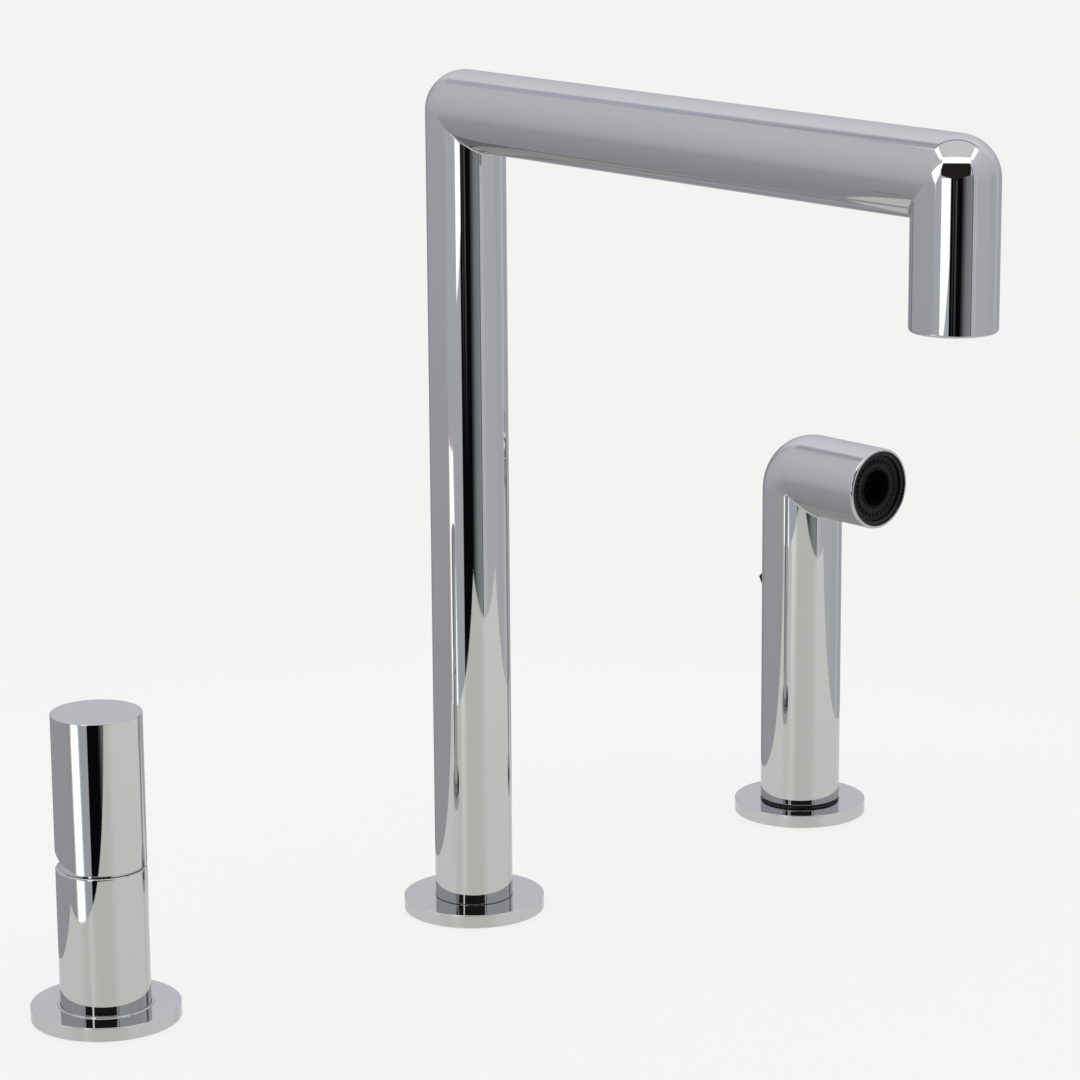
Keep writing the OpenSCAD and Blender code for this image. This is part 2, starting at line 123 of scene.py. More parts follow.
class Grid:
    """Rows of points round a ring of n columns. Each row also holds the direction
    in which the rows go on, so that every vertex gets its exact normal."""

    def __init__(self, n):
        self.n = n
        self.th = TAU * np.arange(n) / n
        self.c, self.s = np.cos(self.th), np.sin(self.th)
        self.P, self.T = [], []

    def add(self, p, t):
        self.P.append(np.stack(np.broadcast_arrays(*[np.asarray(v, float) + 0 * self.c for v in p]), 1))
        self.T.append(np.stack(np.broadcast_arrays(*[np.asarray(v, float) + 0 * self.c for v in t]), 1))
        return len(self.P) - 1

    def ring(self, r, z, dr, dz, at=(0, 0), flip=1):
        """One ring about a vertical axis. The rows go on in the direction (dr, dz)."""
        return self.add((at[0] + r * self.c, at[1] + flip * r * self.s, z),
                        (dr * self.c, dr * flip * self.s, dz))

    def front(self, r, y, dr, dy, z):
        """One ring about an axis along Y at height z. The rows go on in the direction (dr, dy)."""
        return self.add((r * self.c, y, z + r * self.s), (dr * self.c, dy, dr * self.s))

    def arrays(self, closed):
        P, T = np.array(self.P), np.array(self.T)
        D = np.roll(P, -1, 1) - np.roll(P, 1, 1)
        N = np.cross(D, T)
        N /= np.maximum(np.linalg.norm(N, axis=2, keepdims=True), 1e-12)
        return P, N


def mesh_object(name, verts, faces, normals=None, shift=(0, 0, 0)):
    me = bpy.data.meshes.new(name)
    v = (np.asarray(verts, float) + np.asarray(shift, float)) * MM
    me.from_pydata([tuple(p) for p in v.tolist()], [], faces)
    me.polygons.foreach_set("use_smooth", [True] * len(me.polygons))
    me.update()
    if normals is not None:
        me.normals_split_custom_set_from_vertices([tuple(p) for p in np.asarray(normals, float).tolist()])
    o = bpy.data.objects.new(name, me)
    bpy.context.scene.collection.objects.link(o)
    return o


def grid_faces(m, n, closed, skip=()):
    faces = []
    for i in range(m if closed else m - 1):
        a, b = i * n, ((i + 1) % m) * n
        for j in range(n):
            if (i, j) in skip:
                continue
            k = (j + 1) % n
            faces.append((a + j, a + k, b + k, b + j))
    return faces


def ring_band(faces, verts, normals, a, b):
    """Joins two loops of the same length, facing the way its normals point."""
    k = len(a)
    v = [np.array(verts[i]) for i in (a[0], a[1 % k], b[1 % k], b[0])]
    g = np.cross(v[2] - v[0], v[3] - v[1])
    want = np.array(normals[a[0]]) + np.array(normals[b[0]])
    keep = float(np.dot(g, want)) > 0
    for i in range(k):
        j = (i + 1) % k
        q = (a[i], a[j], b[j], b[i])
        faces.append(q if keep else q[::-1])


def hole_shape(kind, u, v, grow):
    """A point on a hole's edge in the direction of (u, v) in the unit square,
    and the edge's own direction outwards."""
    if kind[0] == "round":
        k = math.hypot(u, v)
        d = (u / k, v / k)
        return (kind[1] + grow) * d[0], (kind[1] + grow) * d[1], d
    hx, hz, c = kind[1] + grow, kind[2] + grow, kind[3] + grow
    k = 1 / max(abs(u), abs(v))
    x, z = u * k * hx, v * k * hz
    ix, iz = hx - c, hz - c
    if abs(x) > ix and abs(z) > iz:
        # on the corner's arc, by how far along the corner the direction is
        a, b = (abs(x) - ix) / c, (abs(z) - iz) / c
        w = math.atan2(b, a) if max(a, b) > 0 else 0.785
        w = min(max(w, 0.0), math.pi / 2)
        if a >= 1:
            w = b * math.pi / 4
        elif b >= 1:
            w = math.pi / 2 - a * math.pi / 4
        sx, sz = (1 if x > 0 else -1), (1 if z > 0 else -1)
        return sx * (ix + c * math.cos(w)), sz * (iz + c * math.sin(w)), (sx * math.cos(w), sz * math.sin(w))
    d = (math.copysign(1, x), 0.0) if abs(x) >= hx - 1e-9 else (0.0, math.copysign(1, z))
    return x, z, d


def shell_mesh(grid, closed, ends=(), holes=()):
    """Vertices, normals and faces of a grid, with holes through its +Y wall."""
    P, N = grid.arrays(closed)
    m, n = P.shape[:2]
    skip = set()
    for h in holes:
        for i in range(*sorted(h["out"])):
            for j in range(h["j0"], h["j1"]):
                skip.add((i, j))
        for i in range(*sorted(h["in"])):
            for j in range(h["j0"], h["j1"]):
                skip.add((i, j))
    verts = P.reshape(-1, 3).tolist()
    normals = N.reshape(-1, 3).tolist()
    faces = grid_faces(m, n, closed, skip)
    for which, point, normal in ends:
        verts.append(list(point))
        normals.append(list(normal))
        c = len(verts) - 1
        base = 0 if which == 0 else (m - 1) * n
        for j in range(n):
            k = (j + 1) % n
            faces.append((c, base + k, base + j) if which == 0 else (base + j, base + k, c))
    for h in holes:
        ax, az = h["at"]
        ro, ri, f = h["ro"], h["ri"], h.get("f", 0.25)

        def loop(i_low, i_high):
            lo, hi = (i_low, i_high)
            step = 1 if hi > lo else -1
            js = list(range(h["j0"], h["j1"] + 1))
            rows = list(range(lo, hi + step, step))
            out = [(lo, j) for j in js] + [(i, h["j1"]) for i in rows[1:-1]]
            out += [(hi, j) for j in js[::-1]] + [(i, h["j0"]) for i in rows[1:-1][::-1]]
            return [i * n + j for i, j in out]

        ring_o = loop(h["out"][0], h["out"][1])
        ring_i = loop(h["in"][0], h["in"][1])
        half_x = max(abs(verts[i][0] - ax) for i in ring_o)
        half_z = max(abs(verts[i][2] - az) for i in ring_o)
        uv = [((verts[i][0] - ax) / half_x, (verts[i][2] - az) / half_z) for i in ring_o]

        def put(pts):
            ids = []
            for p, q in pts:
                verts.append(list(p))
                normals.append(list(q))
                ids.append(len(verts) - 1)
            return ids

        def wall_y(r, x):
            return math.sqrt(max(r * r - (x - ax) ** 2, 0))

        def patch(edge, r, sign, grow):
            """Loops from the grid's edge to the hole's, on the cylinder's own face."""
            loops, k = [edge], 7
            for t in range(1, k + 1):
                w = 1 - (1 - t / k) ** 1.25
                pts = []
                for i, (u, v) in zip(edge, uv):
                    hx, hz, _ = hole_shape(h["kind"], u, v, grow)
                    x = verts[i][0] * (1 - w) + (ax + hx) * w
                    z = verts[i][2] * (1 - w) + (az + hz) * w
                    y = wall_y(r, x)
                    pts.append(((x, y, z), (sign * (x - ax) / r, sign * y / r, 0)))
                loops.append(put(pts))
            return loops

        outer = patch(ring_o, ro, 1, f)
        inner = patch(ring_i, ri, -1, 0.08)
        walls = [outer[-1]]
        for k in range(1, 6):
            w = math.pi / 2 * k / 5
            pts = []
            for u, v in uv:
                x, z, d = hole_shape(h["kind"], u, v, f * (1 - math.sin(w)))
                y = wall_y(ro, ax + x)
                nr = ((x) / ro, y / ro)
                nn = np.array([-d[0] * math.sin(w) + nr[0] * math.cos(w), nr[1] * math.cos(w), -d[1] * math.sin(w)])
                nn /= np.linalg.norm(nn)
                pts.append(((ax + x, y - f * (1 - math.cos(w)), az + z), nn))
            walls.append(put(pts))
        for depth, grow, flat in ((0.10, 0.0, True), (0.03, 0.03, False)):
            pts = []
            for u, v in uv:
                x, z, d = hole_shape(h["kind"], u, v, grow)
                y = wall_y(ri, ax + x) + depth
                nn = np.array([-d[0], 0, -d[1]]) if flat else np.array([-d[0], -0.7, -d[1]])
                nn /= np.linalg.norm(nn)
                pts.append(((ax + x, y, az + z), nn))
            walls.append(put(pts))
        walls.append(inner[-1])
        for loops in (outer, inner, walls):
            for a, b in zip(loops, loops[1:]):
                ring_band(faces, verts, normals, a, b)
    return verts, normals, faces


def lathe(name, points, n=192, at=(0, 0), closed=True, small=0.06, along=None, axis_z=0.0):
    """Solid of revolution about Z at `at`, or about an axis along -Y at height axis_z."""
    rows = outline(points, closed, small)
    g = Grid(n)
    ends = []
    for k, (r, z, nr, nz) in enumerate(rows):
        if r < 1e-6:
            p = (at[0], at[1], z) if along is None else (at[0], -z, axis_z)
            q = (0, 0, nz) if along is None else (0, -nz, 0)
            ends.append((0 if k == 0 else 1, p, q))
            continue
        if along is None:
            g.ring(r, z, -nz, nr, at)
        else:
            i = g.front(r, -z, -nz, -nr, axis_z)
            g.P[i][:, 0] += at[0]
    v, nn, f = shell_mesh(g, closed and not ends, ends)
    return mesh_object(name, v, f, nn)


def finish(piece, body, node, mat):
    piece.data.materials.clear()
    piece.data.materials.append(mat)
    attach(piece, body)
    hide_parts(*([node] if isinstance(node, str) else node))
    return piece


# ------------------------------------------------------------------ materials


def node(nt, kind, **sets):
    x = nt.nodes.new(kind)
    for k, v in sets.items():
        if k in ("inputs",):
            for name, value in v.items():
                x.inputs[name].default_value = value
        else:
            setattr(x, k, v)
    return x


def new_material(name):
    m = bpy.data.materials.new(name)
    m.use_nodes = True
    nt = m.node_tree
    nt.nodes.clear()
    out = node(nt, "ShaderNodeOutputMaterial")
    bsdf = node(nt, "ShaderNodeBsdfPrincipled")
    nt.links.new(bsdf.outputs["BSDF"], out.inputs["Surface"])
    tex = node(nt, "ShaderNodeTexCoord")
    return m, nt, bsdf, tex


def noise(nt, vec, scale, detail=3.0, rough=0.5, stretch=None):
    if stretch:
        mp = node(nt, "ShaderNodeMapping")
        mp.inputs["Scale"].default_value = stretch
        nt.links.new(vec, mp.inputs["Vector"])
        vec = mp.outputs["Vector"]
    x = node(nt, "ShaderNodeTexNoise", inputs={"Scale": scale, "Detail": detail, "Roughness": rough})
    nt.links.new(vec, x.inputs["Vector"])
    return x.outputs["Fac"]


def remap(nt, value, lo, hi, to_lo, to_hi):
    x = node(nt, "ShaderNodeMapRange")
    for k, v in (("From Min", lo), ("From Max", hi), ("To Min", to_lo), ("To Max", to_hi)):
        x.inputs[k].default_value = v
    nt.links.new(value, x.inputs["Value"])
    return x.outputs["Result"]


def two_colours(nt, value, a, b, lo=0.35, hi=0.65):
    x = node(nt, "ShaderNodeValToRGB")
    x.color_ramp.elements[0].position, x.color_ramp.elements[1].position = lo, hi
    x.color_ramp.elements[0].color = (*a, 1)
    x.color_ramp.elements[1].color = (*b, 1)
    nt.links.new(value, x.inputs["Fac"])
    return x.outputs["Color"]


def bump(nt, height, distance, strength=1.0, under=None):
    x = node(nt, "ShaderNodeBump", inputs={"Distance": distance, "Strength": strength})
    nt.links.new(height, x.inputs["Height"])
    if under is not None:
        nt.links.new(under, x.inputs["Normal"])
    return x.outputs["Normal"]


def chrome_material(name="chrome_plate"):
    """Polished plating: a clear mirror with faint polishing waves and wiping haze."""
    m, nt, b, tex = new_material(name)
    o = tex.outputs["Object"]
    haze = noise(nt, o, 38.0, 5.0, 0.6)
    nt.links.new(two_colours(nt, haze, (0.545, 0.553, 0.552), (0.556, 0.562, 0.559)), b.inputs["Base Color"])
    b.inputs["Metallic"].default_value = 1.0
    b.inputs["Specular Tint"].default_value = (0.84, 0.84, 0.865, 1)
    nt.links.new(remap(nt, noise(nt, o, 120.0, 4.0, 0.65), 0.3, 0.75, 0.020, 0.045), b.inputs["Roughness"])
    waves = bump(nt, noise(nt, o, 55.0, 1.0, 0.4), 0.0000045)
    fine = bump(nt, noise(nt, o, 420.0, 2.0, 0.5), 0.0000004, under=waves)
    nt.links.new(fine, b.inputs["Normal"])
    return m


def turned_metal(name, dark, light, rough, pitch=2600.0):
    """Metal turned on a lathe: fine rings along the axis, with stains in between."""
    m, nt, b, tex = new_material(name)
    o = tex.outputs["Object"]
    stain = noise(nt, o, 90.0, 6.0, 0.6)
    nt.links.new(two_colours(nt, stain, dark, light), b.inputs["Base Color"])
    b.inputs["Metallic"].default_value = 1.0
    nt.links.new(remap(nt, noise(nt, o, 260.0, 4.0, 0.6), 0.3, 0.7, rough * 0.8, rough * 1.25), b.inputs["Roughness"])
    lines = noise(nt, o, 1.0, 2.0, 0.5, stretch=(60.0, 60.0, pitch))
    n1 = bump(nt, lines, 0.000012)
    n2 = bump(nt, noise(nt, o, 900.0, 3.0, 0.5), 0.000004, under=n1)
    nt.links.new(n2, b.inputs["Normal"])
    return m


def moulded(name, dark, light, rough, specular=0.5, grain=1500.0, depth=0.000006, coat=0.0, ior=1.5):
    """Moulded rubber, plastic or fired ceramic: a fine surface grain and slight cloudiness."""
    m, nt, b, tex = new_material(name)
    o = tex.outputs["Object"]
    cloud = noise(nt, o, 70.0, 5.0, 0.6)
    nt.links.new(two_colours(nt, cloud, dark, light), b.inputs["Base Color"])
    nt.links.new(remap(nt, noise(nt, o, 300.0, 4.0, 0.6), 0.3, 0.7, rough * 0.85, min(1, rough * 1.2)), b.inputs["Roughness"])
    b.inputs["Specular IOR Level"].default_value = specular
    b.inputs["IOR"].default_value = ior
    if coat:
        b.inputs["Coat Weight"].default_value = coat
        b.inputs["Coat Roughness"].default_value = 0.12
    nt.links.new(bump(nt, noise(nt, o, grain, 3.0, 0.55), depth), b.inputs["Normal"])
    return m


CHROME = chrome_material()
BRASS = turned_metal("turned_brass", (0.63, 0.43, 0.19), (0.76, 0.55, 0.27), 0.24)
STEEL = turned_metal("plated_steel", (0.50, 0.51, 0.53), (0.64, 0.65, 0.67), 0.27)
RUBBER = moulded("black_rubber", (0.012, 0.012, 0.012), (0.022, 0.021, 0.021), 0.62, 0.35, 1100.0, 0.00001)
BLACK = moulded("black_plastic", (0.008, 0.008, 0.008), (0.014, 0.013, 0.013), 0.36, 0.30, 1700.0, 0.000004)
SILICONE = moulded("grey_silicone", (0.008, 0.008, 0.008), (0.013, 0.013, 0.013), 0.5, 0.22, 900.0, 0.000008)
DEEP = moulded("matt_black_plastic", (0.003, 0.003, 0.003), (0.005, 0.005, 0.005), 0.60, 0.12, 1700.0, 0.000004)
GREY = moulded("grey_plastic", (0.13, 0.135, 0.145), (0.17, 0.175, 0.185), 0.42, 0.5, 1400.0, 0.000005)
WHITE = moulded("white_plastic", (0.70, 0.69, 0.65), (0.78, 0.77, 0.73), 0.40, 0.5, 1300.0, 0.000004)
CERAMIC = moulded("fired_ceramic", (0.80, 0.79, 0.75), (0.87, 0.86, 0.83), 0.14, 0.6, 2200.0, 0.000001)

BY_SLOT = {
    "chrome_shell": CHROME, "brass": BRASS, "steel": STEEL, "black_rubber": RUBBER,
    "black_plastic": BLACK, "grey_silicone": SILICONE, "grey_plastic": GREY,
    "white_plastic": WHITE, "ceramic": CERAMIC,
}
NODE_SLOTS = {
    "brass": "spout_post spout_nut valve_body cartridge_nut control_nut dock_shank sprayer_nut hose_swivel valve_plunger",
    "steel": "spout_snap_ring spout_grub_screw spout_steel_washer lever_pin lever_stem handle_grub_screw "
             "control_steel_washer sprayer_steel_washer swivel_clip button_spring",
    "black_rubber": "spout_gasket control_gasket sprayer_gasket spout_rubber_washer control_rubber_washer "
                    "sprayer_rubber_washer spout_o_rings swivel_o_rings plunger_o_rings nozzle_o_ring port_seals aerator_seal",
    "black_plastic": "dock_sleeve sprayer_end_cap sprayer_waterway spray_button nozzle_cup stream_insert",
    "grey_silicone": "nozzle_ring",
    "grey_plastic": "disc_driver cartridge_housing handle_hub",
    "white_plastic": "spout_glide_ring spout_lower_bush spout_upper_bush aerator_insert cartridge_base lever_guide",
    "ceramic": "fixed_disc moving_disc",
    "chrome_shell": "spout_flange spout_tube aerator_sleeve control_flange control_sleeve dome_nut handle_shell "
                    "sprayer_flange sprayer_shell",
}
for slot_name, names in NODE_SLOTS.items():
    for nm in names.split():
        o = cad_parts[nm]
        if not o.material_slots:
            o.data.materials.append(BY_SLOT[slot_name])
        for ms in o.material_slots:
            ms.material = DEEP if nm == "stream_insert" else BY_SLOT[slot_name]

# ------------------------------------------------------------------ base flanges


def flange(name, body, node_name, x, bore, stem, roll, counterbore=0.0, bead=False):
    """A base plate whose top edge rolls down into a narrow groove round what stands on it."""
    top = [(stem + 0.04, 5.5, roll), (stem + 0.04, 5.4 - 2.1 * roll, 0.05), (stem - 0.25, 5.4 - 2.1 * roll, 0.05),
           (stem - 0.25, 5.49, 0.05)]
    if bead:
        top[:1] = [(stem + 1.2, 5.5, 0.1), (stem + 1.05, 5.95, 0.28), (stem + 0.04, 5.95, 0.28)]
    if counterbore:
        top += [(counterbore, 5.49, 0.12), (counterbore, 3.5, 0.1), (bore, 3.5, 0.1)]
    else:
        top += [(bore, 5.49, 0.12)]
    pts = [(bore, 0, 0.12), (21.9, 0, 0.1), (21.9, 1.5, 0.1), (26.1, 1.5, 0.1), (26.1, 0, 0.1),
           (29.0, 0, 0.28), (29.0, 5.5, 0.36)] + top
    return finish(lathe(name, pts, 256, (x, 0)), body, node_name, CHROME)


flange("spout_base_plate", "root", "spout_flange", 0.0, 13.4, TUBE_R, 0.16)
flange("control_base_plate", "root", "control_flange", CONTROL_X, 14.4, CTRL_R, 1.0, bead=True)
flange("sprayer_base_plate", "root", "sprayer_flange", SPRAYER_X, 14.4, 17.12, 0.5, 15.5)

# ------------------------------------------------------------------ spout tube


def soft_max(a, b, k):
    return 0.5 * (a + b + np.sqrt((a - b) ** 2 + k * k))


def spout_rows(g, r, crease, up):
    """Rows of the bent tube's wall from the column's foot to the outlet, or back."""
    rho = r * g.s
    R = soft_max(rho, crease, 0.35)
    x = r * g.c
    rows = []
    k = 26
    for i in range(k + 1):
        w = math.pi / 2 * i / k
        rows.append(((x, rho - R + R * math.cos(w), SPOUT_Z + rho - R + R * math.sin(w)),
                     (0, -math.sin(w), math.cos(w))))
    for t in (0.2, 0.4, 0.6, 0.8):
        y0, y1 = rho - R, -REACH - rho + R
        rows.append(((x, y0 + (y1 - y0) * t, SPOUT_Z + rho), (0, -1, 0)))
    for i in range(k + 1):
        w = math.pi / 2 * i / k
        rows.append(((x, -REACH - rho + R - R * math.sin(w), SPOUT_Z + rho - R + R * math.cos(w)),
                     (0, -math.cos(w), -math.sin(w))))
    for p, t in rows if up else rows[::-1]:
        g.add(p, t if up else tuple(-v for v in t))


def spout_tube():
    g = Grid(192)
    z_hole, span = 19.5, 4.2
    zs = [z_hole - span + 2 * span * i / 16 for i in range(17)]
    foot, at, low = 5.68, (0, -REACH), OUTLET_Z + 0.02
    # outside, upwards from the column's rounded foot
    f = 0.22
    for k in range(9):
        w = math.pi / 2 * (1 - k / 8)
        g.ring(TUBE_R - f + f * math.cos(w), foot + f - f * math.sin(w), math.sin(w), math.cos(w))
    out0 = len(g.P)
    for z in zs:
        g.ring(TUBE_R, z, 0, 1)
    out1 = len(g.P) - 1
    for z in (60, 140, 220, 290):
        g.ring(TUBE_R, z, 0, 1)
    spout_rows(g, TUBE_R, CREASE, True)
    for z in (304, 294, 284):
        g.ring(TUBE_R, z, 0, -1, at, -1)
    # the outlet's rounded lip
    f = 1.12
    for k in range(10):
        w = math.pi / 2 * k / 9
        g.ring(TUBE_R - f + f * math.cos(w), low + f - f * math.sin(w), -math.sin(w), -math.cos(w), at, -1)
    f = 0.2
    for k in range(6):
        w = math.pi / 2 * k / 5
        g.ring(TUBE_I + f - f * math.sin(w), low + f - f * math.cos(w), -math.cos(w), math.sin(w), at, -1)
    # inside, back to the foot
    for z in (284, 294, 304):
        g.ring(TUBE_I, z, 0, 1, at, -1)
    spout_rows(g, TUBE_I, 0.5, False)
    for z in (290, 220, 140, 60):
        g.ring(TUBE_I, z, 0, -1)
    in0 = len(g.P)
    for z in zs[::-1]:
        g.ring(TUBE_I, z, 0, -1)
    in1 = len(g.P) - 1
    for r, z, dr, dz in ((TUBE_I, 6.16, 0, -1), (TUBE_I + 0.04, 6.12, 1, 0), (15.26, 6.12, 1, 0), (15.3, 6.08, 0, -1),
                         (15.3, foot + 0.04, 0, -1), (15.34, foot, 1, 0)):
        g.ring(r, z, dr, dz)
    j = 192 // 4
    hole = {"out": (out0, out1), "in": (in1, in0), "j0": j - 8, "j1": j + 8, "at": (0, z_hole),
            "ro": TUBE_R, "ri": TUBE_I, "kind": ("round", 2.02), "f": 0.22}
    v, n, f = shell_mesh(g, True, holes=[hole])
    return mesh_object("spout_pipe", v, f, n)


finish(spout_tube(), "spout", "spout_tube", CHROME)

# ------------------------------------------------------------------ outlet ring
outlet_ring = lathe("outlet_ring", [(10.8, 278.8, 0.15), (14.2, 278.8, 0.1), (14.55, 279.15, 0.1), (14.55, 291, 0.1),
                                    (11.6, 291, 0.1), (11.6, 280, 0.08), (10.8, 280, 0.15)], 128, (0, -REACH))
finish(outlet_ring, "spout", "aerator_sleeve", CHROME)

# ------------------------------------------------------------------ control
sleeve = lathe("control_barrel", [(15.6, 5.52, 0.1), (17.34, 5.52, 0.03), (17.34, 3.7, 0.03), (17.5, 3.7, 0.05), (17.5, 60.8, 0.85), (15.6, 60.8, 0.15)], 256, (CONTROL_X, 0))
finish(sleeve, "root", "control_sleeve", CHROME)


def dome():
    a0 = math.asin((60.86 - PIVOT) / 17.28)
    a1 = math.asin((69.3 - PIVOT) / 17.28)
    r0, r1 = 17.28 * math.cos(a0), 17.28 * math.cos(a1)
    g = Grid(192)
    at = (CONTROL_X, 0)
    for r, z, dr, dz in ((10.7, 58.0, 1, 0), (15.4, 58.0, 1, 0), (15.5, 58.1, 0, 1), (15.5, 60.7, 0, 1),
                         (15.56, 60.83, 1, 0), (r0 - 0.05, 60.83, 1, 0)):
        g.ring(r, z, dr, dz, at)
    for k in range(15):
        a = a0 + (a1 - a0) * k / 14
        g.ring(17.28 * math.cos(a), PIVOT + 17.28 * math.sin(a), -math.sin(a), math.cos(a), at)
    for r, z, dr, dz in ((r1 - 0.06, 69.36, -1, 0), (10.7, 69.36, -1, 0), (10.6, 69.26, 0, -1), (10.6, 58.1, 0, -1)):
        g.ring(r, z, dr, dz, at)
    v, n, f = shell_mesh(g, True)
    return mesh_object("control_dome", v, f, n)


finish(dome(), "root", "dome_nut", CHROME)


def handle():
    n = 256
    g = Grid(n)
    slope = math.tan(math.radians(21.4))

    def cut(r):
        return soft_max(61.6 + 0 * g.s, 64.1 + slope * r * g.s, 0.25)

    def inner(z):
        z = np.asarray(z, float)
        ball = np.sqrt(np.maximum(17.6 ** 2 - (z - PIVOT) ** 2, 0))
        return soft_max(ball, 15.0 + 0 * z, 0.2)

    roof = CTRL_TOP - 5.5
    ends = [(0, (0, 0, roof), (0, 0, -1))]
    for r, z, nr, nz in outline([(0.0, roof), (15.0, roof, 0.4), (15.0, 100.0)], False):
        if r > 1e-6:
            g.ring(r, z, -nz, nr)
    span = 5.2
    zs = [82 - span + 2 * span * i / 18 for i in range(19)]
    in_high = len(g.P)
    for z in zs[::-1]:
        g.ring(15.0, z, 0, -1)
    in_low = len(g.P) - 1
    # where the cut meets the hollow
    zi = cut(16.2)
    for _ in range(14):
        zi = cut(inner(zi))
    top_in = 74.0
    steps = 20
    for k in range(steps, -1, -1):
        z = zi + 0.1 + (top_in - zi - 0.1) * k / steps
        r = inner(z)
        dr = (inner(z + 0.05) - inner(z - 0.05)) / 0.1
        g.add((r * g.c, r * g.s, z), (-dr * g.c, -dr * g.s, -1))
    tilt = slope * g.s * (64.1 + slope * 16.8 * g.s > 61.6)
    ri = inner(zi) + 0.1
    g.add((ri * g.c, ri * g.s, cut(ri)), (g.c, g.s, tilt))
    f = 0.3
    for k in range(8):
        w = math.pi / 2 * (1 - k / 7)
        r = 17.5 - f + f * math.cos(w)
        g.add((r * g.c, r * g.s, cut(r) + f - f * math.sin(w)),
              (math.sin(w) * g.c, math.sin(w) * g.s, math.cos(w) + math.sin(w) * tilt))
    out_low = len(g.P)
    for z in zs:
        g.ring(17.5, z, 0, 1)
    out_high = len(g.P) - 1
    for r, z, nr, nz in outline([(17.5, 100.0), (17.5, CTRL_TOP, 0.42), (0.0, CTRL_TOP)], False):
        if r > 1e-6:
            g.ring(r, z, -nz, nr)
    ends.append((1, (0, 0, CTRL_TOP), (0, 0, 1)))
    j = n // 4
    hole = {"out": (out_low, out_high), "in": (in_low, in_high), "j0": j - 11, "j1": j + 11, "at": (0, 82.0),
            "ro": 17.5, "ri": 15.0, "kind": ("round", 2.52), "f": 0.25}
    v, nn, fc = shell_mesh(g, False, ends, [hole])
    return mesh_object("handle_barrel", v, fc, nn, (CONTROL_X, 0, 0))


finish(handle(), "control_lever", "handle_shell", CHROME)

# ------------------------------------------------------------------ hand spray


def spray_rows(g, r, crease, inward=False):
    rho = r * g.s
    R = soft_max(BEND + rho, crease, 0.3)
    x = r * g.c
    rows, k = [], 30
    for i in range(k + 1):
        w = math.pi / 2 * i / k
        rows.append(((x, rho - R + R * math.cos(w), HEAD_Z + rho - R + R * math.sin(w)),
                     (0, -math.sin(w), math.cos(w))))
    for p, t in rows[::-1] if inward else rows:
        g.add(p, tuple(-v for v in t) if inward else t)


def sprayer():
    n = 192
    g = Grid(n)
    foot, f = 6.62, 0.4
    for k in range(9):
        w = math.pi / 2 * (1 - k / 8)
        g.ring(SPRAY_R - f + f * math.cos(w), foot + f - f * math.sin(w), math.sin(w), math.cos(w))
    g.ring(SPRAY_R, 50, 0, 1)
    zb, span = 104.3, 8.0
    zs = [zb - span + 2 * span * i / 30 for i in range(31)]
    out0 = len(g.P)
    for z in zs:
        g.ring(SPRAY_R, z, 0, 1)
    out1 = len(g.P) - 1
    spray_rows(g, SPRAY_R, 0.8)
    f = 1.05
    face = HEAD_Y - 0.02
    g.front(SPRAY_R, -(face - 8), 0, -1, HEAD_Z)
    for k in range(13):
        w = math.pi / 2 * k / 12
        g.front(SPRAY_R - f + f * math.cos(w), -(face - f + f * math.sin(w)), -math.sin(w), -math.cos(w), HEAD_Z)
    f = 0.14
    for k in range(5):
        w = math.pi / 2 * (1 - k / 4)
        g.front(16.3 + f - f * math.cos(w), -(face - f + f * math.sin(w)), -math.sin(w), math.cos(w), HEAD_Z)
    for r, y, nr, ny in outline([(16.3, 40.0), (16.3, 27.0, 0.1), (15.5, 27.0, 0.2), (15.5, 20.0)], False):
        g.front(r, -y, -ny, -nr, HEAD_Z)
    spray_rows(g, SPRAY_I, 0.5, True)
    in0 = len(g.P)
    for z in zs[::-1]:
        g.ring(SPRAY_I, z, 0, -1)
    in1 = len(g.P) - 1
    g.ring(SPRAY_I, 50, 0, -1)
    f = 0.2
    for k in range(5):
        w = math.pi / 2 * k / 4
        g.ring(SPRAY_I + f - f * math.cos(w), foot + f - f * math.sin(w), math.sin(w), -math.cos(w))
    j = n // 4
    hole = {"out": (out0, out1), "in": (in1, in0), "j0": j - 20, "j1": j + 20, "at": (0, zb),
            "ro": SPRAY_R, "ri": SPRAY_I, "kind": ("slot", 8.1, 5.3, 0.9), "f": 0.3}
    v, nn, fc = shell_mesh(g, True, holes=[hole])
    return mesh_object("spray_body", v, fc, nn, (SPRAYER_X, 0, 0))


finish(sprayer(), "hand_spray", "sprayer_shell", CHROME)

liner = lathe("dock_liner", [(11.3, -35, 0.1), (12.6, -35, 0.1), (12.6, 5.5, 0.1), (17.1, 5.5, 0.1), (17.1, 6.5, 0.25),
                             (11.65, 6.5, 0.5), (11.3, 6.1, 0.3)], 192, (SPRAYER_X, 0))
finish(liner, "root", "dock_sleeve", BLACK)

# ------------------------------------------------------------------ nozzle
cup = lathe("nozzle_body", [(3.0, 25.0, 0.05), (6.25, 25.0, 0.05), (6.25, 17.0, 0.05), (9.5, 17.0, 0.1), (9.5, 27.1, 0.1),
                            (16.22, 27.1, 0.1), (16.22, 44.98, 0.36), (14.45, 44.98, 0.14), (14.45, 28.6, 0.1), (3.0, 28.6, 0.1)],
            160, (SPRAYER_X, 0), True, 0.05, "front", HEAD_Z)
finish(cup, "hand_spray", "nozzle_cup", BLACK)


